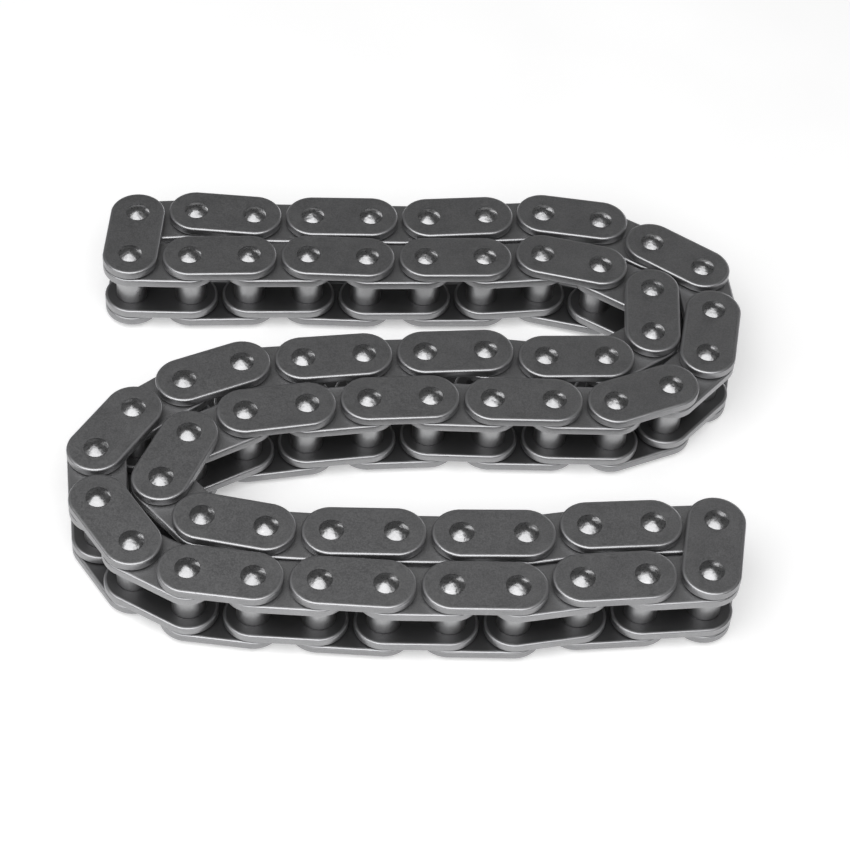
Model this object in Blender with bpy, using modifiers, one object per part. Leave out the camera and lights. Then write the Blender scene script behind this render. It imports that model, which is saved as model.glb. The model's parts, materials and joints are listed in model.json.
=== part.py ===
"""Endless bush chain of 64 links, 9.525 mm pitch, lying on its side folded double into an S.

The chain is a loop of outer links (two plates riveted on two pins) and inner links (two plates
pressed on two bushes). A pin turns in a bush, so each pin is a pivot with a vertical axis. The loop
is flattened into a doubled strand, and the strand lies in an S with an end link at each tip.

Links are numbered round the loop: link 1 is the end link that holds the frame, odd links are outer
links and even links inner ones. Pivot k joins link k to the next link. Two arms leave link 1 and
meet at pivot 32: the front arm carries links 2 to 32, the rear arm links 64 down to 33.
Units are metres, +Z is up, and Z = 0 is the surface that the lower rivet ends stand on.
"""

import math

import bmesh
import bpy
from mathutils import Vector

# Driving dimensions
PITCH = 0.009525  # pin centre to pin centre
INNER_WIDTH = 0.00572  # clear width between the two inner plates
PLATE_THICKNESS = 0.0015
PLATE_END_GAP = 0.0007  # between the round ends of two plates in line on one level
PIN_DIAMETER = 0.00345
BUSH_WALL = 0.00055
RIVET_HEIGHT = 0.0008  # how far a riveted pin end stands out of its plate
RIVET_TIP_DIAMETER = 0.0024  # flat on the riveted end

# Clearances
SIDE_GAP = 0.0002  # between an inner and an outer plate
RUNNING_CLEARANCE = 0.000075  # radial, between the corners of a pin and the flats of its bore
PRESS_GAP = 0.00006  # radial, round a pin or bush that is a separate solid in its plate

# Facets
ROUND_SIDES = 8  # on pins, bushes and bores
END_STEPS = 6  # on the half circle of a plate's end

# Derived sizes
PLATE_RADIUS = (PITCH - PLATE_END_GAP) / 2
PIN_RADIUS = PIN_DIAMETER / 2
BORE_RADIUS = (PIN_RADIUS + RUNNING_CLEARANCE) / math.cos(math.pi / ROUND_SIDES)
BUSH_RADIUS = BORE_RADIUS + BUSH_WALL
INNER_PLATE_Z = (INNER_WIDTH + PLATE_THICKNESS) / 2  # plate middles, from the chain's mid plane
OUTER_PLATE_Z = INNER_PLATE_Z + PLATE_THICKNESS + SIDE_GAP
OUTER_FACE_Z = OUTER_PLATE_Z + PLATE_THICKNESS / 2
INNER_FACE_Z = INNER_PLATE_Z + PLATE_THICKNESS / 2
PIN_END_Z = OUTER_FACE_Z + RIVET_HEIGHT
MID_PLANE = PIN_END_Z  # height of the chain's mid plane over the surface it lies on

# The lay: whole degrees that each link turns from the one before, counterclockwise, going out from
# link 1. The front arm's last two links take the angles that close the loop.
END_LINK_HEADING = -101.0  # of link 1, from pivot 64 to pivot 1
FRONT_ARM_TURNS = (
    (-75, 0, 5, -10, 0, -3, 0, -4)  # front run, leftwards
    + (-23, -26, -28, -38, -19, -15, -17)  # round the left bend
    + (0, -3, 0, -10, 8)  # middle run, rightwards
    + (33, 51, 62, 19, 19)  # round the right bend
    + (-4, 0, -3, 3)  # back run, leftwards
)
REAR_ARM_TURNS = (
    (104, 0, 6, -9, -1, 0, -3, -8)  # front run, leftwards
    + (-37, -65, -38, -19)  # round the left bend
    + (-2, -4, -5, 1, 0, 22)  # middle run, rightwards
    + (25, 32, 16, 50, 4, 23, 13)  # round the right bend
    + (0, -4, 0, 0, -5, 9)  # back run, leftwards
    + (81,)  # link 33, across the tip
)
CLOSING_SIDE = 1  # the side on which the front arm's last elbow lies
LINKS = 64
FAR_LINK = 33  # the last link of the rear arm
# Pivots at rest in line whose two links are one solid
RIGID_PIVOTS = (5, 7, 16, 18, 27, 36, 39, 48, 59, 63)

# Colour, metallic and roughness of each steel
PLATE_STEEL = ((0.095, 0.096, 0.1), 1.0, 0.42)
INNER_PLATE_STEEL = ((0.11, 0.111, 0.115), 1.0, 0.4)
PIN_STEEL = ((0.3, 0.3, 0.31), 1.0, 0.25)
BUSH_STEEL = ((0.33, 0.33, 0.34), 1.0, 0.3)


def clear_scene():
    """Remove every object that the file starts with."""
    for obj in list(bpy.data.objects):
        bpy.data.objects.remove(obj, do_unlink=True)


def new_collection(name):
    """A collection under the scene's own."""
    collection = bpy.data.collections.new(name)
    bpy.context.scene.collection.children.link(collection)
    return collection


def steel(name, finish):
    """A Principled BSDF material of one colour, metallic value and roughness."""
    colour, metallic, roughness = finish
    material = bpy.data.materials.new(name)
    material.use_nodes = True
    shader = material.node_tree.nodes["Principled BSDF"]
    shader.inputs["Base Color"].default_value = (*colour, 1.0)
    shader.inputs["Metallic"].default_value = metallic
    shader.inputs["Roughness"].default_value = roughness
    material.diffuse_color = (*colour, 1.0)
    return material


def evaluated_mesh(obj, name):
    """The object's shape with its modifiers or curve settings worked out, as a new mesh."""
    bpy.context.view_layer.update()
    graph = bpy.context.evaluated_depsgraph_get()
    mesh = bpy.data.meshes.new_from_object(obj.evaluated_get(graph))
    mesh.name = name
    return mesh


def add_guide(name, data, collection, location=(0.0, 0.0, 0.0)):
    """A construction object: it shapes other pieces, and is no piece itself."""
    guide = bpy.data.objects.new(name, data)
    guide.location = location
    guide.hide_render = True
    guide.display_type = "WIRE"
    collection.objects.link(guide)
    return guide


def plate_outline():
    """Corners of a link plate round two pins, the first at the origin and the other at +X."""
    corners = []
    for centre_x, first_angle in ((PITCH, -90.0), (0.0, 90.0)):
        for step in range(END_STEPS + 1):
            angle = math.radians(first_angle + 180.0 * step / END_STEPS)
            x = centre_x + PLATE_RADIUS * math.cos(angle)
            corners.append((x, PLATE_RADIUS * math.sin(angle)))
    return corners


def plate_mesh(guides):
    """A link plate without holes, centred on Z = 0."""
    corners = plate_outline()
    curve = bpy.data.curves.new("plate_outline", "CURVE")
    curve.dimensions = "2D"
    curve.fill_mode = "BOTH"
    curve.extrude = PLATE_THICKNESS / 2
    spline = curve.splines.new("POLY")
    spline.points.add(len(corners) - 1)
    for point, (x, y) in zip(spline.points, corners):
        point.co = (x, y, 0.0, 1.0)
    spline.use_cyclic_u = True
    outline = add_guide("plate_outline", curve, guides)
    mesh = evaluated_mesh(outline, "plate")
    bpy.data.objects.remove(outline)
    weld(mesh)
    return mesh


def weld(mesh):
    """Join a mesh's loose caps to its walls, and turn its faces outwards."""
    shape = bmesh.new()
    shape.from_mesh(mesh)
    bmesh.ops.remove_doubles(shape, verts=shape.verts, dist=1e-7)
    bmesh.ops.recalc_face_normals(shape, faces=shape.faces)
    shape.to_mesh(mesh)
    shape.free()


def turned_mesh(name, profile, closed, guides):
    """A profile of (radius, height) points, given down its outer side, turned about Z."""
    mesh = bpy.data.meshes.new(name + "_profile")
    edges = [(i, i + 1) for i in range(len(profile) - 1)]
    if closed:
        edges.append((len(profile) - 1, 0))
    mesh.from_pydata([(radius, 0.0, height) for radius, height in profile], edges, [])
    guide = add_guide(name + "_profile", mesh, guides)
    screw = guide.modifiers.new("turn", "SCREW")
    screw.steps = screw.render_steps = ROUND_SIDES
    screw.use_merge_vertices = True
    screw.merge_threshold = 1e-6
    screw.use_smooth_shade = False
    shape = evaluated_mesh(guide, name)
    bpy.data.objects.remove(guide)
    return shape


def pin_mesh(guides):
    """A pin with both riveted ends, about Z."""
    tip = RIVET_TIP_DIAMETER / 2
    profile = [
        (0.0, PIN_END_Z),
        (tip, PIN_END_Z),
        (PIN_RADIUS, OUTER_FACE_Z),
        (PIN_RADIUS, -OUTER_FACE_Z),
        (tip, -PIN_END_Z),
        (0.0, -PIN_END_Z),
    ]
    return turned_mesh("pin", profile, False, guides)


def rod_mesh(name, radius, half_length, guides):
    """A plain rod about Z."""
    profile = [(0.0, half_length), (radius, half_length), (radius, -half_length), (0.0, -half_length)]
    return turned_mesh(name, profile, False, guides)


def bush_mesh(guides):
    """A bush, flush with the outer faces of its two inner plates."""
    profile = [
        (BUSH_RADIUS, INNER_FACE_Z),
        (BUSH_RADIUS, -INNER_FACE_Z),
        (BORE_RADIUS, -INNER_FACE_Z),
        (BORE_RADIUS, INNER_FACE_Z),
    ]
    return turned_mesh("bush", profile, True, guides)


def combine(name, base, others, guides):
    """One mesh from a base mesh and (operation, mesh, (x, z)) steps, by exact Booleans."""
    body = add_guide(name + "_base", base, guides)
    helpers = []
    for number, (operation, mesh, (x, z)) in enumerate(others):
        helper = add_guide(f"{name}_step_{number}", mesh, guides, (x, 0.0, z))
        helpers.append(helper)
        step = body.modifiers.new(f"step_{number}", "BOOLEAN")
        step.operation = operation
        step.solver = "EXACT"
        step.object = helper
    shape = evaluated_mesh(body, name)
    for guide in [body, *helpers]:
        bpy.data.objects.remove(guide)
    return shape


def moved(mesh, x, z):
    """A copy of a mesh, moved along X and Z."""
    copy = mesh.copy()
    for vertex in copy.vertices:
        vertex.co += Vector((x, 0.0, z))
    return copy


def outer_link_mesh(plate, pin, guides):
    """Two outer plates riveted on two pins, the first pin on the origin's axis."""
    steps = [("UNION", plate, (0.0, OUTER_PLATE_Z))]
    steps += [("UNION", pin, (x, 0.0)) for x in (0.0, PITCH)]
    return combine("outer_link", moved(plate, 0.0, -OUTER_PLATE_Z), steps, guides)


def inner_link_mesh(plate, bored, guides):
    """Two inner plates pressed on two bushes, the first on the origin's axis, with bores at bored."""
    core = rod_mesh("bush_core", BUSH_RADIUS, INNER_PLATE_Z, guides)
    bore = rod_mesh("bush_bore", BORE_RADIUS, PIN_END_Z, guides)
    steps = [("UNION", plate, (0.0, INNER_PLATE_Z))]
    steps += [("UNION", core, (x, 0.0)) for x in (0.0, PITCH)]
    steps += [("DIFFERENCE", bore, (x, 0.0)) for x in bored]
    return combine("inner_link", moved(plate, 0.0, -INNER_PLATE_Z), steps, guides)


def inner_first_pair_mesh(plate, outer, guides):
    """An inner and an outer link in line as one solid: their pin is held in a bush without a bore."""
    inner = inner_link_mesh(plate, (0.0,), guides)
    return combine("inner_first_pair", inner, [("UNION", outer, (PITCH, 0.0))], guides)


def outer_first_pair_mesh(inner_first_pair):
    """The same pair turned end for end."""
    mesh = inner_first_pair.copy()
    mesh.name = "outer_first_pair"
    for vertex in mesh.vertices:
        vertex.co.x = 2 * PITCH - vertex.co.x
        vertex.co.y = -vertex.co.y
    return mesh


def holed_plate_mesh(name, plate, hole_radius, guides):
    """A separate link plate with its two holes, centred on Z = 0."""
    hole = rod_mesh("plate_hole", hole_radius, PLATE_THICKNESS, guides)
    steps = [("DIFFERENCE", hole, (x, 0.0)) for x in (0.0, PITCH)]
    return combine(name, plate, steps, guides)


def heading_vector(degrees):
    """The step of one pitch in a heading."""
    angle = math.radians(degrees)
    return Vector((PITCH * math.cos(angle), PITCH * math.sin(angle), 0.0))


def walk(start, heading, turns):
    """Pins that an arm passes, from its first to its last, and the heading of each of its links."""
    pins, headings = [start], []
    for turn in turns:
        heading += turn
        headings.append(heading)
        pins.append(pins[-1] + heading_vector(heading))
    return pins, headings


def closing_elbow(start, end):
    """The pin one pitch from both points, on CLOSING_SIDE of the way from start to end."""
    half = (end - start) / 2
    rise = math.sqrt(PITCH**2 - half.length**2)
    sideways = Vector((-half.y, half.x, 0.0)).normalized()
    return start + half + sideways * rise * CLOSING_SIDE


def lay_chain():
    """Where each link lies: {link: (pin nearer link 1, heading away from link 1)}, not yet centred."""
    rear_pin = Vector((0.0, 0.0, 0.0))
    front_pin = rear_pin + heading_vector(END_LINK_HEADING)
    rear_pins, rear_headings = walk(rear_pin, END_LINK_HEADING + 180.0, REAR_ARM_TURNS)
    front_pins, front_headings = walk(front_pin, END_LINK_HEADING, FRONT_ARM_TURNS)
    front_pins.append(closing_elbow(front_pins[-1], rear_pins[-1]))
    front_pins.append(rear_pins[-1])
    for near, far in (front_pins[-3:-1], front_pins[-2:]):
        step = far - near
        front_headings.append(math.degrees(math.atan2(step.y, step.x)))
    lay = {1: (rear_pin, END_LINK_HEADING)}
    for number, heading in enumerate(front_headings):
        lay[2 + number] = (front_pins[number], heading)
    for number, heading in enumerate(rear_headings):
        lay[LINKS - number] = (rear_pins[number], heading)
    return lay


def centred(lay):
    """The lay moved so that the box round all plates is centred on the Z axis."""
    ends = [pin + step for pin, heading in lay.values() for step in (Vector(), heading_vector(heading))]
    low = Vector((min(p.x for p in ends), min(p.y for p in ends), 0.0))
    high = Vector((max(p.x for p in ends), max(p.y for p in ends), 0.0))
    shift = Vector((0.0, 0.0, MID_PLANE)) - (low + high) / 2
    return {link: (pin + shift, heading) for link, (pin, heading) in lay.items()}


def add_frame(name, place, parent, collection):
    """An empty on a link's first pin axis, turned to the link's heading."""
    empty = bpy.data.objects.new(name, None)
    empty.empty_display_size = PITCH
    pin, heading = place
    empty.location = pin
    empty.rotation_euler.z = math.radians(heading)
    empty.parent = parent
    collection.objects.link(empty)
    return empty


def add_piece(name, mesh, material, parent, collection, location=(0.0, 0.0, 0.0), heading=0.0):
    """One piece of the chain, with its own place, on a mesh that its copies share."""
    piece = bpy.data.objects.new(name, mesh)
    piece.location = location
    piece.rotation_euler.z = math.radians(heading)
    piece.parent = parent
    collection.objects.link(piece)
    if not mesh.materials:
        mesh.materials.append(None)
    piece.material_slots[0].link = "OBJECT"
    piece.material_slots[0].material = material
    return piece


def add_end_link(place, plate, pin, materials, parent, parts, guides):
    """Link 1 in its four pieces: two holed plates and two pins."""
    frame = add_frame("end_link", place, parent, parts)
    holed = holed_plate_mesh("end_link_plate", plate, PIN_RADIUS + PRESS_GAP, guides)
    for side, z in (("top", OUTER_PLATE_Z), ("bottom", -OUTER_PLATE_Z)):
        add_piece(f"end_link_{side}_plate", holed, materials["outer"], frame, parts, (0.0, 0.0, z))
    for side, x in (("rear", 0.0), ("front", PITCH)):
        add_piece(f"end_link_{side}_pin", pin, materials["pin"], frame, parts, (x, 0.0, 0.0))


def add_first_inner_link(place, plate, materials, parent, parts, guides):
    """Link 2 in its four pieces: two holed plates and two bushes."""
    frame = add_frame("inner_link_02", place, parent, parts)
    holed = holed_plate_mesh("inner_link_plate", plate, BUSH_RADIUS + PRESS_GAP, guides)
    bush = bush_mesh(guides)
    for side, z in (("top", INNER_PLATE_Z), ("bottom", -INNER_PLATE_Z)):
        add_piece(f"inner_link_02_{side}_plate", holed, materials["inner"], frame, parts, (0.0, 0.0, z))
    for side, x in (("near", 0.0), ("far", PITCH)):
        add_piece(f"inner_link_02_{side}_bush", bush, materials["bush"], frame, parts, (x, 0.0, 0.0))


def solid_links():
    """The links that are one solid each, going out from link 1, as (near link, far link or None)."""
    solids = []
    for arm in (range(3, FAR_LINK), range(LINKS, FAR_LINK - 1, -1)):
        links = list(arm)
        while links:
            near = links.pop(0)
            pair = links and min(near, links[0]) in RIGID_PIVOTS
            solids.append((near, links.pop(0) if pair else None))
    return solids


def add_links(lay, meshes, materials, parent, parts):
    """Every link or rigid pair of links that is one solid."""
    for near, far in solid_links():
        kind = "outer" if near % 2 else "inner"
        if far is None:
            name = f"{kind}_link_{near:02d}"
            mesh = meshes[kind]
        else:
            name = f"link_pair_{min(near, far):02d}_{max(near, far):02d}"
            mesh = meshes[kind + "_first_pair"]
        pin, heading = lay[near]
        add_piece(name, mesh, materials[kind], parent, parts, pin, heading)


def main():
    """Model the whole chain."""
    clear_scene()
    parts = new_collection("bush_chain")
    guides = new_collection("cutters")
    materials = {
        "outer": steel("outer_plate_steel", PLATE_STEEL),
        "inner": steel("inner_plate_steel", INNER_PLATE_STEEL),
        "pin": steel("pin_steel", PIN_STEEL),
        "bush": steel("bush_steel", BUSH_STEEL),
    }
    plate = plate_mesh(guides)
    pin = pin_mesh(guides)
    outer = outer_link_mesh(plate, pin, guides)
    pair = inner_first_pair_mesh(plate, outer, guides)
    meshes = {
        "outer": outer,
        "inner": inner_link_mesh(plate, (0.0, PITCH), guides),
        "inner_first_pair": pair,
        "outer_first_pair": outer_first_pair_mesh(pair),
    }
    chain = bpy.data.objects.new("chain", None)
    parts.objects.link(chain)
    lay = centred(lay_chain())
    add_end_link(lay[1], plate, pin, materials, chain, parts, guides)
    add_first_inner_link(lay[2], plate, materials, chain, parts, guides)
    add_links(lay, meshes, materials, chain, parts)


main()
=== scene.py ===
"""Looks of the endless bush chain: plates, pins and bushes in satin steel on a pale table.

Every real piece of the chain is a piece here: two outer plates and two riveted pins for each outer
link, two inner plates and two bushes for each inner link. They are modelled once each, copied to
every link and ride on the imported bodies. Units are metres, +Z is up.
"""

from __future__ import annotations

import json
import logging
import math
import re
from collections.abc import Callable, Iterator
from contextlib import contextmanager
from dataclasses import dataclass
from enum import Enum
from typing import Any

import bmesh
import bpy
from mathutils import Matrix, Vector

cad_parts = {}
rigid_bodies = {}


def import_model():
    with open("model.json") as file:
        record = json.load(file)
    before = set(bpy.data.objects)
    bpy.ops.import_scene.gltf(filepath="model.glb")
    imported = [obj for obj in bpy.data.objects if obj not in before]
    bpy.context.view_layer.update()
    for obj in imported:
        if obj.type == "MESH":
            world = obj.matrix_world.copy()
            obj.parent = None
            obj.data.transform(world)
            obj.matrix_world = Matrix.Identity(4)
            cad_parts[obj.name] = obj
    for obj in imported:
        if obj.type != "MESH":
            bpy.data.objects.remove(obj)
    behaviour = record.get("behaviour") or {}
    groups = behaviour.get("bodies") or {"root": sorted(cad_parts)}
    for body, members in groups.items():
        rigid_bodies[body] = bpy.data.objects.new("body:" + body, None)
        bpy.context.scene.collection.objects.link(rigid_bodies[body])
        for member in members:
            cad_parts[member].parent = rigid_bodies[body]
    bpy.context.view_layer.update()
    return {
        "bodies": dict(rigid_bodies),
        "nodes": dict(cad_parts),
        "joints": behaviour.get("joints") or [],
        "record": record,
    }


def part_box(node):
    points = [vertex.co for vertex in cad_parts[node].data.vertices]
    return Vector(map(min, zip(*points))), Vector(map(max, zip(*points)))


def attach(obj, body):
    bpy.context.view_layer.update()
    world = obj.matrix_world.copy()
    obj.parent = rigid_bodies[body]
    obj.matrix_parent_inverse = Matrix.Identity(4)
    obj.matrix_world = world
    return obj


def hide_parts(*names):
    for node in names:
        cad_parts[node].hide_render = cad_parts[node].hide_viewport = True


log = logging.getLogger("bush_chain")

MILLIMETRE = 0.001


class LinkKind(Enum):
    """The two kinds of link that take turns round the chain."""

    OUTER = "outer"
    INNER = "inner"


class Slot(Enum):
    """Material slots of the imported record."""

    OUTER_PLATE = "outer_plate_steel"
    INNER_PLATE = "inner_plate_steel"
    PIN = "pin_steel"
    BUSH = "bush_steel"


# ----------------------------------------------------------------------------- modelling helpers


def select_only(piece: bpy.types.Object) -> None:
    """Make one object the only selected and the active one.

    Args:
        piece: The object.
    """
    bpy.ops.object.select_all(action="DESELECT")
    piece.select_set(True)
    bpy.context.view_layer.objects.active = piece


@contextmanager
def editing(piece: bpy.types.Object) -> Iterator[None]:
    """Open an object in edit mode with nothing of it selected.

    Args:
        piece: The mesh object to edit.
    """
    select_only(piece)
    bpy.ops.object.mode_set(mode="EDIT")
    bpy.ops.mesh.select_all(action="DESELECT")
    yield
    bpy.ops.object.mode_set(mode="OBJECT")


def pick_faces(piece: bpy.types.Object, wanted: Callable[[Vector, Vector], bool]) -> None:
    """Select the faces that a test on (centre, normal) accepts, in edit mode.

    Args:
        piece: The object in edit mode.
        wanted: The test.
    """
    bpy.ops.mesh.select_mode(type="FACE")
    bpy.ops.mesh.select_all(action="DESELECT")
    shape = bmesh.from_edit_mesh(piece.data)
    for face in shape.faces:
        face.select_set(wanted(face.calc_center_median(), face.normal))
    bmesh.update_edit_mesh(piece.data)


def pick_vertices(piece: bpy.types.Object, wanted: Callable[[Vector], bool]) -> None:
    """Select the vertices that a test on their place accepts, in edit mode.

    Args:
        piece: The object in edit mode.
        wanted: The test.
    """
    bpy.ops.mesh.select_mode(type="VERT")
    bpy.ops.mesh.select_all(action="DESELECT")
    shape = bmesh.from_edit_mesh(piece.data)
    for vertex in shape.verts:
        vertex.select_set(wanted(vertex.co))
    shape.select_flush(True)
    bmesh.update_edit_mesh(piece.data)


def start_cylinder(name: str, radius: float, low: float, high: float, sides: int) -> bpy.types.Object:
    """Add a capped cylinder on the Z axis as the start of a piece.

    Args:
        name: The new object's name.
        radius: Radius to the middle of its flats.
        low: Height of its lower cap.
        high: Height of its upper cap.
        sides: Number of flats, with one across each end of the Y axis.

    Returns:
        The new object.
    """
    bpy.ops.object.select_all(action="DESELECT")
    bpy.ops.mesh.primitive_cylinder_add(
        vertices=sides,
        radius=radius / math.cos(math.pi / sides),
        depth=high - low,
        location=(0.0, 0.0, (low + high) / 2),
        rotation=(0.0, 0.0, math.pi / sides),
    )
    piece = bpy.context.active_object
    piece.name = name
    bpy.ops.object.transform_apply(location=True, rotation=True, scale=True)
    return piece


def grow_cap(piece: bpy.types.Object, height: float, profile: list[tuple[float, float]]) -> None:
    """Extrude the top cap of a turned piece through a profile.

    Args:
        piece: The object, turned about Z.
        height: Height of its top cap.
        profile: (radius, rise above that cap) of each new ring, the first at the cap's own radius.
    """
    (radius, rise), *rest = profile
    with editing(piece):
        pick_faces(piece, lambda centre, normal: normal.z > 0.9 and centre.z > height - 1e-6)
        for next_radius, next_rise in rest:
            bpy.ops.mesh.extrude_region_move(
                TRANSFORM_OT_translate={"value": (0.0, 0.0, next_rise - rise)}
            )
            scale = next_radius / radius
            bpy.ops.transform.resize(
                value=(scale, scale, 1.0), center_override=(0.0, 0.0, height + next_rise)
            )
            radius, rise = next_radius, next_rise


def cut(piece: bpy.types.Object, cutter: bpy.types.Object) -> None:
    """Subtract a cutter from a piece, and remove the cutter.

    Args:
        piece: The object to cut.
        cutter: The closed solid that is taken out of it.
    """
    select_only(piece)
    hole = piece.modifiers.new("cut", "BOOLEAN")
    hole.operation = "DIFFERENCE"
    hole.solver = "EXACT"
    hole.object = cutter
    bpy.ops.object.modifier_apply(modifier=hole.name)
    bpy.data.objects.remove(cutter)


def smooth(piece: bpy.types.Object, degrees: float) -> None:
    """Shade a piece smooth, except over edges sharper than an angle.

    Args:
        piece: The object.
        degrees: The angle between faces from which an edge stays sharp.
    """
    select_only(piece)
    bpy.ops.object.shade_smooth_by_angle(angle=math.radians(degrees))


# ----------------------------------------------------------------------------- where things are


class CadMeasure:
    """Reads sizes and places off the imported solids."""

    def __init__(self, nodes: dict[str, bpy.types.Object]) -> None:
        """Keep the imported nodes.

        Args:
            nodes: Node name to its object.
        """
        self.nodes = nodes

    def centre(self, node: str) -> Vector:
        """The middle of a node's box."""
        low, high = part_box(node)
        return (low + high) / 2

    def span_z(self, node: str) -> tuple[float, float]:
        """A node's lowest and highest Z."""
        low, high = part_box(node)
        return low.z, high.z

    def radii(self, node: str) -> tuple[float, float]:
        """Measure how far a turned node's corners are from its vertical axis.

        Args:
            node: The node's name.

        Returns:
            The distances of the nearest and of the farthest corner.
        """
        middle = self.centre(node)
        away = [(v.co - middle).xy.length for v in self.nodes[node].data.vertices]
        return min(away), max(away)


@dataclass(frozen=True)
class ChainSizes:
    """Sizes of the chain's pieces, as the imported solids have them."""

    pitch: float
    plate_radius: float
    outer_plate_z: tuple[float, float]
    inner_plate_z: tuple[float, float]
    pin_radius: float
    pin_end_z: float
    bore_radius: float
    bush_radius: float
    mid_z: float

    @classmethod
    def measured(cls, cad: CadMeasure) -> ChainSizes:
        """Measure the pieces of the end link and of the inner link beside it.

        Args:
            cad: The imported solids.

        Returns:
            The sizes.
        """
        rear, front = cad.centre("end_link_rear_pin"), cad.centre("end_link_front_pin")
        along = (front - rear).normalized()
        corners = [v.co - rear for v in cad.nodes["end_link_top_plate"].data.vertices]
        sideways = [abs(along.x * corner.y - along.y * corner.x) for corner in corners]
        bore_radius, bush_radius = cad.radii("inner_link_02_near_bush")
        return cls(
            pitch=(front - rear).length,
            plate_radius=max(sideways),
            outer_plate_z=cad.span_z("end_link_top_plate"),
            inner_plate_z=cad.span_z("inner_link_02_top_plate"),
            pin_radius=cad.radii("end_link_rear_pin")[1],
            pin_end_z=cad.span_z("end_link_rear_pin")[1],
            bore_radius=bore_radius,
            bush_radius=bush_radius,
            mid_z=rear.z,
        )


@dataclass(frozen=True)
class ChainLink:
    """One link: its number, kind, body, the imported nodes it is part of, and its two pin places."""

    number: int
    kind: LinkKind
    body: str
    nodes: tuple[str, ...]
    near: Vector
    far: Vector

    def place(self, at_far_pin: bool = False) -> Matrix:
        """Find where a piece that is modelled along +X goes on this link.

        Args:
            at_far_pin: True for the pin farther from link 1, False for the nearer one.

        Returns:
            The matrix from the model's place to that pin, turned along the link.
        """
        step = self.far - self.near
        start = self.far if at_far_pin else self.near
        turn = Matrix.Rotation(math.atan2(step.y, step.x), 4, "Z")
        return Matrix.Translation((start.x, start.y, 0.0)) @ turn


class ChainLay:
    """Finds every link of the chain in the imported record."""

    SOLID_NAME = re.compile(r"(outer|inner|link)_(?:link|pair)_(\d+)(?:_(\d+))?$")

    def __init__(self, frame: dict[str, Any], cad: CadMeasure) -> None:
        """Read the bodies and joints.

        Args:
            cad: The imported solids.
        """
        self.cad = cad
        behaviour = frame["record"]["behaviour"]
        self.bodies: dict[str, list[str]] = behaviour["bodies"]
        self.joint_at = {joint["child"]: Vector(joint["pos_m"]) for joint in behaviour["joints"]}
        self.parent_of = {joint["child"]: joint["parent"] for joint in behaviour["joints"]}

    def links(self) -> list[ChainLink]:
        """Collect every link.

        Returns:
            The links, by number.
        """
        found = [self.end_link()]
        for body, nodes in self.bodies.items():
            if body in self.joint_at:
                found += self.links_of(body, tuple(nodes))
        return sorted(found, key=lambda link: link.number)

    def end_link(self) -> ChainLink:
        """Find the link that the record's tree hangs from.

        Returns:
            Link 1, from its rear pin to its front pin.
        """
        nodes = tuple(self.bodies["end_link"])
        rear, front = (self.cad.centre(f"end_link_{side}_pin") for side in ("rear", "front"))
        return ChainLink(1, LinkKind.OUTER, "end_link", nodes, rear, front)

    def links_of(self, body: str, nodes: tuple[str, ...]) -> list[ChainLink]:
        """The one or two links of a body that hangs on a joint.

        Args:
            body: The body's name, which holds its links' numbers.
            nodes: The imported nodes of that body.

        Returns:
            Its links, from its joint outwards.
        """
        numbers = self.numbers_of(body)
        parent_numbers = self.numbers_of(self.parent_of[body])
        ordered = numbers if numbers[0] == parent_numbers[-1] + 1 else numbers[::-1]
        near = self.joint_at[body]
        boxes = [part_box(node) for node in nodes]
        low = Vector([min(box[0][axis] for box in boxes) for axis in range(3)])
        high = Vector([max(box[1][axis] for box in boxes) for axis in range(3)])
        far = (low + high) - near
        step = (far - near) / len(ordered)
        step.z = 0.0
        links = []
        for index, number in enumerate(ordered):
            start = near + step * index
            kind = LinkKind.OUTER if number % 2 else LinkKind.INNER
            links.append(ChainLink(number, kind, body, nodes, start, start + step))
        return links

    def numbers_of(self, body: str) -> list[int]:
        """The link numbers in a body's name, lowest first, or link 1 for the end link."""
        found = self.SOLID_NAME.match(body)
        return [int(digits) for digits in found.groups()[1:] if digits] if found else [1]


# ----------------------------------------------------------------------------- finishes


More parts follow.
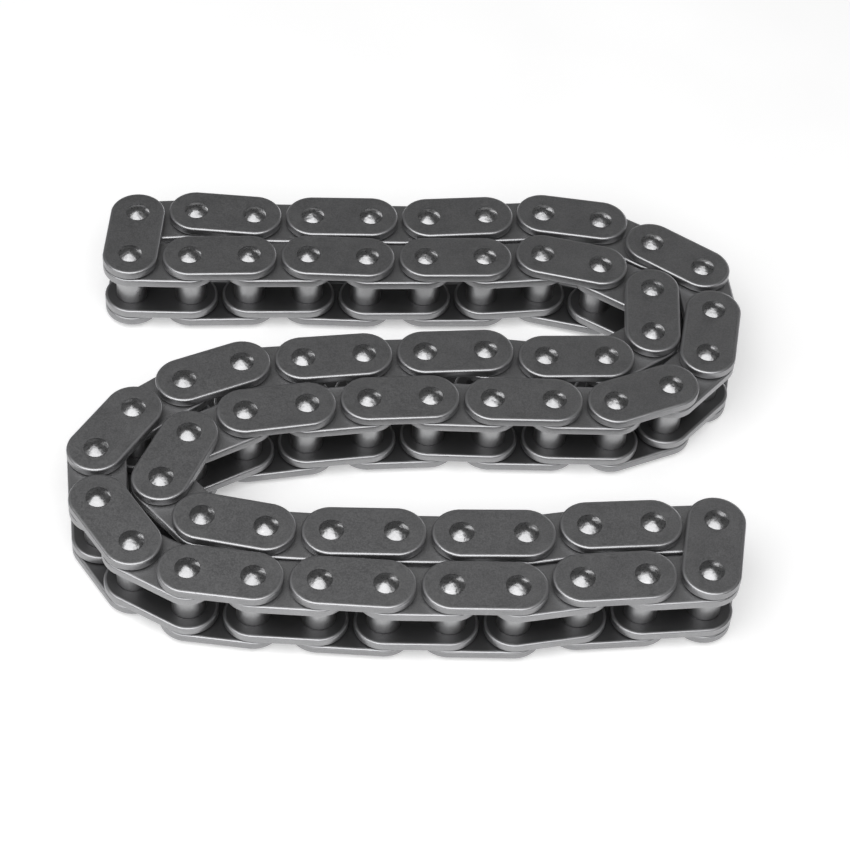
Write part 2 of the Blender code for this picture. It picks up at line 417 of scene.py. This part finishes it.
class NodeBench:
    """Builds a material's nodes."""

    def __init__(self, name: str) -> None:
        """Start a material with only its Principled shader.

        Args:
            name: The material's name.
        """
        self.material = bpy.data.materials.new(name)
        self.material.use_nodes = True
        self.tree = self.material.node_tree
        self.shader = self.tree.nodes["Principled BSDF"]

    def add(self, kind: str, **settings: Any) -> bpy.types.Node:
        """Add a node.

        Args:
            kind: The node type's name without "ShaderNode".
            **settings: Attributes of the node; a dict named inputs sets sockets or links them.

        Returns:
            The new node.
        """
        node = self.tree.nodes.new("ShaderNode" + kind)
        inputs = settings.pop("inputs", {})
        for key, value in settings.items():
            setattr(node, key, value)
        for key, value in inputs.items():
            self.feed(node.inputs[key], value)
        return node

    def feed(self, socket: bpy.types.NodeSocket, value: Any) -> None:
        """Set a socket to a value, or link it if the value is another node's output.

        Args:
            socket: The input socket.
            value: A number, a tuple or an output socket.
        """
        if isinstance(value, bpy.types.NodeSocket):
            self.tree.links.new(value, socket)
        else:
            socket.default_value = value

    def noise(self, scale: float, stretch: tuple[float, float, float], detail: float) -> Any:
        """Noise on object coordinates.

        Args:
            scale: Features per metre.
            stretch: What each coordinate is multiplied by first.
            detail: Octaves of finer noise.

        Returns:
            The noise value's socket.
        """
        coordinates = self.add("TexCoord").outputs["Object"]
        mapping = self.add("Mapping", inputs={"Vector": coordinates, "Scale": stretch})
        inputs = {"Vector": mapping.outputs["Vector"], "Scale": scale, "Detail": detail}
        return self.add("TexNoise", inputs=inputs).outputs["Fac"]

    def ranged(self, value: Any, low: float, high: float, to_low: float, to_high: float) -> Any:
        """Move a value from one range to another, and keep it inside.

        Args:
            value: The value's socket.
            low: Where the first range starts.
            high: Where the first range ends.
            to_low: Where the second range starts.
            to_high: Where the second range ends.

        Returns:
            The moved value's socket.
        """
        inputs = {"Value": value, "From Min": low, "From Max": high, "To Min": to_low, "To Max": to_high}
        return self.add("MapRange", clamp=True, inputs=inputs).outputs["Result"]

    def maths(self, operation: str, first: Any, second: Any) -> Any:
        """The result socket of a Math node on two values."""
        return self.add("Math", operation=operation, inputs={0: first, 1: second}).outputs[0]

    def mixed(self, factor: Any, first: Any, second: Any) -> Any:
        """Mix two colours.

        Args:
            factor: Share of the second colour, 0 to 1.
            first: The first colour.
            second: The second colour.

        Returns:
            The mixed colour's socket.
        """
        node = self.add("Mix", data_type="RGBA")
        self.feed(node.inputs[0], factor)
        self.feed(node.inputs[6], first)
        self.feed(node.inputs[7], second)
        return node.outputs[2]


@dataclass(frozen=True)
class SteelFinish:
    """A worked steel surface: its colour, its grain, its dents, how its edges are worn, and a painted
    shade on the faces between the plates.
    """

    name: str
    colour: tuple[float, float, float]
    light_colour: tuple[float, float, float]
    roughness: tuple[float, float]
    grain_per_metre: float
    grain_stretch: tuple[float, float, float]
    grain_height: float
    worn_colour: tuple[float, float, float]
    worn_roughness: float
    dents_per_metre: float = 700.0
    dent_height: float = 0.02 * MILLIMETRE
    # inside_shade: share of the colour kept where "inside" is high, a painted shade on the faces between
    # the plates
    inside_shade: float = 0.62
    clouds_per_metre: float = 280.0
    cloud_share: float = 0.4
    speck_share: float = 0.6
    rubs_per_metre: float = 700.0
    rub_stretch: tuple[float, float, float] = (0.8, 1.6, 1.0)
    rub_range: tuple[float, float] = (0.62, 0.72)
    rub_share: float = 0.2
    rub_gloss: float = 0.06

    def material(self) -> bpy.types.Material:
        """Build the material.

        Returns:
            A metal whose tone clouds, dents and grain follow object coordinates. It is brighter and
            smoother where the piece's "wear" attribute is high, and darker where "inside" is: a painted
            shade on the faces between the plates.
        """
        bench = NodeBench(self.name)
        grain = bench.noise(self.grain_per_metre, self.grain_stretch, 3.0)
        scratched = bench.noise(self.rubs_per_metre, self.rub_stretch, 5.0)
        rubs = bench.ranged(scratched, *self.rub_range, 0.0, 1.0)
        wear = bench.add("Attribute", attribute_name="wear").outputs["Fac"]
        bench.feed(bench.shader.inputs["Base Color"], self.tinted(bench, grain, rubs, wear))

        dull = bench.ranged(grain, 0.35, 0.65, *self.roughness)
        dull = bench.maths("SUBTRACT", dull, bench.maths("MULTIPLY", rubs, self.rub_gloss))
        worn = bench.maths("SUBTRACT", 1.0, wear)
        shiny = bench.maths("MULTIPLY", wear, self.worn_roughness)
        rough = bench.maths("ADD", bench.maths("MULTIPLY", dull, worn), shiny)
        bench.feed(bench.shader.inputs["Roughness"], rough)

        bench.shader.inputs["Metallic"].default_value = 1.0
        bench.feed(bench.shader.inputs["Normal"], self.relief(bench, grain))
        return bench.material

    def tinted(self, bench: NodeBench, grain: Any, rubs: Any, wear: Any) -> Any:
        """The base colour.

        Args:
            bench: The material in the making.
            grain: Socket of the fine grain.
            rubs: Socket of the rub marks, 0 to 1.
            wear: Socket of the worn edges, 0 to 1.

        Returns:
            The colour's socket.
        """
        cloudy = bench.noise(self.clouds_per_metre, (1.0, 1.0, 1.0), 3.0)
        clouds = bench.ranged(cloudy, 0.3, 0.7, 0.0, self.cloud_share)
        specks = bench.ranged(grain, 0.38, 0.62, 0.0, self.speck_share)
        tone = bench.maths("ADD", clouds, specks)
        body = bench.mixed(tone, (*self.colour, 1.0), (*self.light_colour, 1.0))
        rubbed = bench.maths("MULTIPLY", rubs, self.rub_share)
        body = bench.mixed(rubbed, body, (*self.worn_colour, 1.0))
        # Painted shade: where "inside" is high, the colour is darkened to inside_shade of itself,
        # standing in for the shade between plates and bushes.
        inside = bench.add("Attribute", attribute_name="inside").outputs["Fac"]
        painted_shade_colour = tuple(channel * self.inside_shade for channel in self.colour)
        body = bench.mixed(inside, body, (*painted_shade_colour, 1.0))
        return bench.mixed(wear, body, (*self.worn_colour, 1.0))

    def relief(self, bench: NodeBench, grain: Any) -> Any:
        """The shading normal of the dents, with the grain on top.

        Args:
            bench: The material in the making.
            grain: Socket of the fine grain.

        Returns:
            The normal's socket.
        """
        dents = bench.noise(self.dents_per_metre, (1.0, 1.0, 1.0), 2.0)
        inputs = {"Height": dents, "Distance": self.dent_height, "Strength": 1.0}
        dented = bench.add("Bump", inputs=inputs).outputs["Normal"]
        inputs = {"Height": grain, "Distance": self.grain_height, "Strength": 1.0, "Normal": dented}
        return bench.add("Bump", inputs=inputs).outputs["Normal"]


FINISHES = {
    Slot.OUTER_PLATE: SteelFinish(
        name="tumbled_dark_steel",
        colour=(0.24, 0.24, 0.245),
        light_colour=(0.34, 0.34, 0.345),
        roughness=(0.44, 0.54),
        grain_per_metre=5000.0,
        grain_stretch=(1.0, 1.0, 1.0),
        grain_height=0.010 * MILLIMETRE,
        worn_colour=(0.44, 0.44, 0.45),
        worn_roughness=0.42,
        dent_height=0.010 * MILLIMETRE,
    ),
    Slot.INNER_PLATE: SteelFinish(
        name="tumbled_grey_steel",
        colour=(0.28, 0.28, 0.285),
        light_colour=(0.38, 0.38, 0.385),
        roughness=(0.42, 0.52),
        grain_per_metre=5000.0,
        grain_stretch=(1.0, 1.0, 1.0),
        grain_height=0.010 * MILLIMETRE,
        worn_colour=(0.44, 0.44, 0.45),
        worn_roughness=0.42,
        dent_height=0.010 * MILLIMETRE,
    ),
    Slot.PIN: SteelFinish(
        name="riveted_pin_steel",
        colour=(0.28, 0.28, 0.285),
        light_colour=(0.38, 0.38, 0.385),
        roughness=(0.26, 0.36),
        grain_per_metre=3000.0,
        grain_stretch=(1.0, 1.0, 1.0),
        grain_height=0.003 * MILLIMETRE,
        worn_colour=(0.6, 0.6, 0.61),
        worn_roughness=0.2,
        dents_per_metre=650.0,
        dent_height=0.16 * MILLIMETRE,
    ),
    Slot.BUSH: SteelFinish(
        name="satin_bush_steel",
        colour=(0.38, 0.38, 0.385),
        light_colour=(0.46, 0.46, 0.465),
        roughness=(0.32, 0.40),
        grain_per_metre=3500.0,
        grain_stretch=(1.0, 1.0, 6.0),
        grain_height=0.010 * MILLIMETRE,
        worn_colour=(0.55, 0.55, 0.56),
        worn_roughness=0.25,
    ),
}


# ----------------------------------------------------------------------------- pieces


class PieceMaker:
    """Copies one modelled piece to every place it has on the chain."""

    slot: Slot

    def __init__(self, model: bpy.types.Object) -> None:
        """Take over the model and dress it.

        Args:
            model: The modelled piece, at the origin along +X. Its mesh is kept, its object removed.
        """
        self.mesh = model.data
        bpy.data.objects.remove(model)
        self.mesh.materials.clear()
        self.mesh.materials.append(FINISHES[self.slot].material())

    def place(self, name: str, link: ChainLink, matrix: Matrix) -> None:
        """Put one copy on a link.

        Args:
            name: The copy's name.
            link: The link it belongs to.
            matrix: Where the model's origin and axes go.
        """
        mesh = self.mesh.copy()
        mesh.name = name
        mesh.transform(matrix)
        if matrix.determinant() < 0.0:
            mesh.flip_normals()
        piece = bpy.data.objects.new(name, mesh)
        bpy.context.scene.collection.objects.link(piece)
        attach(piece, link.body)
        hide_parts(*link.nodes)
        log.info("%s rides on %s", name, link.body)


@dataclass
class LinkPlate:
    """A link plate: a flat bar with half-round ends, rounded rims and two countersunk holes."""

    pitch: float
    radius: float
    low: float
    high: float
    hole_radius: float
    rim: float = 0.32 * MILLIMETRE
    lip: float = 0.05 * MILLIMETRE
    margin: float = 0.20 * MILLIMETRE
    wall_wear: float = 0.20
    end_sides: int = 44
    hole_sides: int = 28

    def model(self) -> bpy.types.Object:
        """Model the plate on its first pin, along +X.

        Returns:
            The plate's object.
        """
        plate = start_cylinder("plate", self.radius, self.low, self.high, self.end_sides)
        with editing(plate):
            pick_vertices(plate, lambda place: place.x > 0.0)
            bpy.ops.transform.translate(value=(self.pitch, 0.0, 0.0))
            pick_faces(plate, lambda centre, normal: abs(normal.z) > 0.9)
            bpy.ops.mesh.bevel(offset=self.rim, segments=4, profile=0.5, affect="EDGES")
            pick_faces(plate, self.on_flat)
            bpy.ops.mesh.inset(thickness=self.margin)
        for x in (0.0, self.pitch):
            cut(plate, self.hole_cutter(x))
        smooth(plate, 35.0)
        self.mark_wear_and_painted_shade(plate)
        return plate

    def on_flat(self, centre: Vector, normal: Vector) -> bool:
        """True for the two flat faces of the plate."""
        return abs(normal.z) > 0.999 and (centre.z < self.low + 1e-7 or centre.z > self.high - 1e-7)

    def hole_cutter(self, x: float) -> bpy.types.Object:
        """A rod with a cone at each end, which leaves a countersunk hole.

        Args:
            x: Where the hole's axis is.

        Returns:
            The cutter.
        """
        low, high = self.low + self.lip, self.high - self.lip
        cutter = start_cylinder("hole", self.hole_radius, low, high, self.hole_sides)
        wide = (self.hole_radius + 2 * self.lip) / self.hole_radius
        for sign, cap in ((1.0, high), (-1.0, low)):
            with editing(cutter):
                pick_faces(cutter, lambda centre, normal: normal.z * sign > 0.9)
                bpy.ops.mesh.extrude_region_move(
                    TRANSFORM_OT_translate={"value": (0.0, 0.0, 2 * self.lip * sign)}
                )
                bpy.ops.transform.resize(value=(wide, wide, 1.0), center_override=(0.0, 0.0, cap))
        cutter.data.transform(Matrix.Translation((x, 0.0, 0.0)))
        return cutter

    def mark_wear_and_painted_shade(self, plate: bpy.types.Object) -> None:
        """Write "wear", high on rims and walls, and "inside", a painted shade, high on the face towards
        the bushes.

        Args:
            plate: The plate's object, still at its place along +X.
        """
        wear = plate.data.attributes.new("wear", "FLOAT", "POINT")
        inside = plate.data.attributes.new("inside", "FLOAT", "POINT")
        for vertex in plate.data.vertices:
            nearest_x = min(max(vertex.co.x, 0.0), self.pitch)
            out = math.hypot(vertex.co.x - nearest_x, vertex.co.y)
            depth = min(vertex.co.z - self.low, self.high - vertex.co.z)
            if out > self.radius - self.rim * 1.05:
                wear.data[vertex.index].value = 1.0 if depth < self.rim * 0.75 else self.wall_wear
            # Painted shade: the face towards the chain's mid plane, between the plates and bushes, is
            # marked to be darkened.
            inside.data[vertex.index].value = 1.0 if vertex.co.z < self.low + 0.1 * self.rim else 0.0


class OuterPlates(PieceMaker):
    """The two riveted plates of each outer link."""

    slot = Slot.OUTER_PLATE

    def __init__(self, sizes: ChainSizes) -> None:
        """Model the upper plate.

        Args:
            sizes: The chain's sizes.
        """
        plate = LinkPlate(sizes.pitch, sizes.plate_radius, *sizes.outer_plate_z, sizes.pin_radius)
        super().__init__(plate.model())
        self.turn_over = Matrix.Translation((0, 0, 2 * sizes.mid_z)) @ Matrix.Scale(-1, 4, (0, 0, 1))

    def dress(self, link: ChainLink) -> None:
        """Add both plates to an outer link."""
        self.place(f"outer_plate_top_{link.number:02d}", link, link.place())
        self.place(f"outer_plate_bottom_{link.number:02d}", link, self.turn_over @ link.place())


class InnerPlates(PieceMaker):
    """The two plates of each inner link, pressed on its bushes."""

    slot = Slot.INNER_PLATE

    def __init__(self, sizes: ChainSizes) -> None:
        """Model the upper plate.

        Args:
            sizes: The chain's sizes.
        """
        plate = LinkPlate(sizes.pitch, sizes.plate_radius, *sizes.inner_plate_z, sizes.bush_radius)
        super().__init__(plate.model())
        self.turn_over = Matrix.Translation((0, 0, 2 * sizes.mid_z)) @ Matrix.Scale(-1, 4, (0, 0, 1))

    def dress(self, link: ChainLink) -> None:
        """Add both plates to an inner link."""
        self.place(f"inner_plate_top_{link.number:02d}", link, link.place())
        self.place(f"inner_plate_bottom_{link.number:02d}", link, self.turn_over @ link.place())


class Pins(PieceMaker):
    """The riveted pins: round in the bush, with an end that spinning upset into a blunt cone."""

    slot = Slot.PIN
    sides = 32

    def __init__(self, sizes: ChainSizes) -> None:
        """Model the pin.

        Args:
            sizes: The chain's sizes.
        """
        self.radius = sizes.pin_radius
        self.face_z = sizes.outer_plate_z[1]
        self.end_rise = sizes.pin_end_z - self.face_z
        self.mid_z = sizes.mid_z
        super().__init__(self.model())

    def head_profile(self) -> list[tuple[float, float]]:
        """List the rings of one riveted end, from the plate's face up.

        Returns:
            The radius and the rise of each ring.
        """
        r, h = self.radius, self.end_rise
        return [
            (r, 0.0),
            (r * 1.06, 0.02 * h),
            (r * 1.07, 0.08 * h),
            (r * 1.03, 0.15 * h),
            (r * 0.96, 0.24 * h),
            (r * 0.86, 0.37 * h),
            (r * 0.72, 0.53 * h),
            (r * 0.56, 0.69 * h),
            (r * 0.40, 0.83 * h),
            (r * 0.26, 0.93 * h),
            (r * 0.13, 0.985 * h),
            (r * 0.04, 1.0 * h),
        ]

    def model(self) -> bpy.types.Object:
        """Model a pin about Z.

        Returns:
            The pin's object.
        """
        pin = start_cylinder("pin", self.radius, self.mid_z, self.face_z, self.sides)
        grow_cap(pin, self.face_z, self.head_profile())
        with editing(pin):
            pick_faces(pin, lambda centre, normal: normal.z < -0.9 and centre.z < self.mid_z + 1e-6)
            bpy.ops.mesh.delete(type="ONLY_FACE")
        select_only(pin)
        mirror = pin.modifiers.new("both ends", "MIRROR")
        mirror.use_axis = (False, False, True)
        mirror.merge_threshold = 1e-6
        pin.data.transform(Matrix.Translation((0.0, 0.0, -self.mid_z)))
        bpy.ops.object.modifier_apply(modifier=mirror.name)
        pin.data.transform(Matrix.Translation((0.0, 0.0, self.mid_z)))
        smooth(pin, 40.0)
        return pin

    def dress(self, link: ChainLink) -> None:
        """Add both pins to an outer link."""
        self.place(f"pin_near_{link.number:02d}", link, link.place())
        self.place(f"pin_far_{link.number:02d}", link, link.place(at_far_pin=True))


class Bushes(PieceMaker):
    """The bushes that hold the inner plates apart and turn on the pins."""

    slot = Slot.BUSH
    sides = 32
    rim = 0.09 * MILLIMETRE

    def __init__(self, sizes: ChainSizes) -> None:
        """Model the bush.

        Args:
            sizes: The chain's sizes.
        """
        self.radius = sizes.bush_radius
        self.wall = sizes.bush_radius - sizes.bore_radius
        self.half_length = sizes.inner_plate_z[1] - sizes.mid_z
        self.mid_z = sizes.mid_z
        super().__init__(self.model())

    def model(self) -> bpy.types.Object:
        """Model a bush about Z.

        Returns:
            The bush's object.
        """
        low, high = self.mid_z - self.half_length, self.mid_z + self.half_length
        bush = start_cylinder("bush", self.radius, low, high, self.sides)
        with editing(bush):
            pick_faces(bush, lambda centre, normal: abs(normal.z) > 0.9)
            bpy.ops.mesh.bevel(offset=self.rim, segments=2, profile=0.5, affect="EDGES")
            pick_faces(bush, lambda centre, normal: abs(normal.z) > 0.999)
            bpy.ops.mesh.inset(thickness=self.wall - self.rim)
            bpy.ops.mesh.bridge_edge_loops()
        smooth(bush, 35.0)
        return bush

    def dress(self, link: ChainLink) -> None:
        """Add both bushes to an inner link."""
        self.place(f"bush_near_{link.number:02d}", link, link.place())
        self.place(f"bush_far_{link.number:02d}", link, link.place(at_far_pin=True))


# ----------------------------------------------------------------------------- studio


@dataclass(frozen=True)
class SoftBox:
    """A rectangular studio light, aimed at the middle of the table; lengths in chain pitches."""

    name: str
    place: tuple[float, float, float]
    size: tuple[float, float]
    radiance: float

    def add(self, pitch: float) -> None:
        """Add the light to the scene.

        Args:
            pitch: The chain's pitch, in metres.
        """
        data = bpy.data.lights.new(self.name, "AREA")
        data.shape = "RECTANGLE"
        data.size, data.size_y = (side * pitch for side in self.size)
        data.energy = self.radiance * math.pi * data.size * data.size_y
        light = bpy.data.objects.new(self.name, data)
        light.location = Vector(self.place) * pitch
        light.rotation_euler = (-light.location).to_track_quat("-Z", "Y").to_euler()
        bpy.context.scene.collection.objects.link(light)


@dataclass(frozen=True)
class StudioCamera:
    """The camera's place in chain pitches from the chain's mid plane, its aim and its lens."""

    place: tuple[float, float, float] = (-2.36167, -25.1192, 28.8577)
    azimuth: float = 5.8155
    elevation: float = 49.1585
    roll: float = 4.8229
    lens: float = 99.19
    sensor: float = 36.0
    clip: tuple[float, float] = (0.01, 10.0)

    def add(self, sizes: ChainSizes) -> None:
        """Add the camera and make it the scene's.

        Args:
            sizes: The chain's sizes.
        """
        azimuth, elevation, roll = (math.radians(a) for a in (self.azimuth, self.elevation, self.roll))
        ahead = Vector(
            (
                math.sin(azimuth) * math.cos(elevation),
                math.cos(azimuth) * math.cos(elevation),
                -math.sin(elevation),
            )
        )
        level = Vector((math.cos(azimuth), -math.sin(azimuth), 0.0))
        over = level.cross(ahead)
        right = level * math.cos(roll) + over * math.sin(roll)
        up = over * math.cos(roll) - level * math.sin(roll)
        data = bpy.data.cameras.new("camera")
        data.lens = self.lens
        data.sensor_width = self.sensor
        data.clip_start, data.clip_end = self.clip
        camera = bpy.data.objects.new("camera", data)
        turn = Matrix((right, up, -ahead)).transposed().to_4x4()
        place = Vector(self.place) * sizes.pitch + Vector((0.0, 0.0, sizes.mid_z))
        camera.matrix_world = Matrix.Translation(place) @ turn
        bpy.context.scene.collection.objects.link(camera)
        bpy.context.scene.camera = camera


class Studio:
    """A pale table, soft lights and the camera."""

    table_size = 8.0
    table_tone = (0.86, 0.9)
    table_mottling_per_metre = 30.0
    table_roughness = 0.9
    table_glow = 0.3  # a light table: it softens the shadow round the chain
    sky = 0.11
    lights = (
        SoftBox("key_softbox", (-15.3, -32.9, 71.3), (110.0, 90.0), 2.6),
        SoftBox("back_softbox", (44.0, 66.0, 18.0), (26.0, 20.0), 2.7),
    )

    def __init__(self, sizes: ChainSizes) -> None:
        """Keep the chain's sizes.

        Args:
            sizes: The chain's sizes.
        """
        self.sizes = sizes

    def table(self) -> None:
        """Add the table top."""
        bpy.ops.object.select_all(action="DESELECT")
        bpy.ops.mesh.primitive_plane_add(size=self.table_size)
        table = bpy.context.active_object
        table.name = "table"
        bench = NodeBench("pale_table")
        mottling = bench.noise(self.table_mottling_per_metre, (1.0, 1.0, 1.0), 2.0)
        tone = bench.ranged(mottling, 0.3, 0.7, *self.table_tone)
        bench.feed(bench.shader.inputs["Base Color"], tone)
        bench.shader.inputs["Roughness"].default_value = self.table_roughness
        bench.shader.inputs["Emission Color"].default_value = (1.0, 1.0, 1.0, 1.0)
        bench.shader.inputs["Emission Strength"].default_value = self.table_glow
        table.data.materials.append(bench.material)

    def world(self) -> None:
        """Light the surroundings evenly."""
        world = bpy.data.worlds.new("studio")
        world.use_nodes = True
        world.node_tree.nodes["Background"].inputs["Color"].default_value = (self.sky,) * 3 + (1.0,)
        bpy.context.scene.world = world

    def build(self) -> None:
        """Add everything."""
        self.table()
        self.world()
        for light in self.lights:
            light.add(self.sizes.pitch)
        StudioCamera().add(self.sizes)


def corners(bounds: Any) -> list[list[float]]:
    """A box as plain lists of numbers."""
    return [list(corner) for corner in bounds]


def main() -> None:
    """Build the chain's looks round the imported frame."""
    logging.basicConfig(level=logging.INFO, format="%(message)s")
    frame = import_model()
    cad = CadMeasure(frame["nodes"])
    sizes = ChainSizes.measured(cad)
    links = ChainLay(frame, cad).links()
    makers = {
        LinkKind.OUTER: (OuterPlates(sizes), Pins(sizes)),
        LinkKind.INNER: (InnerPlates(sizes), Bushes(sizes)),
    }
    for link in links:
        for maker in makers[link.kind]:
            maker.dress(link)
    Studio(sizes).build()
    bpy.context.scene.view_settings.view_transform = "Standard"


if __name__ == "__main__":
    main()
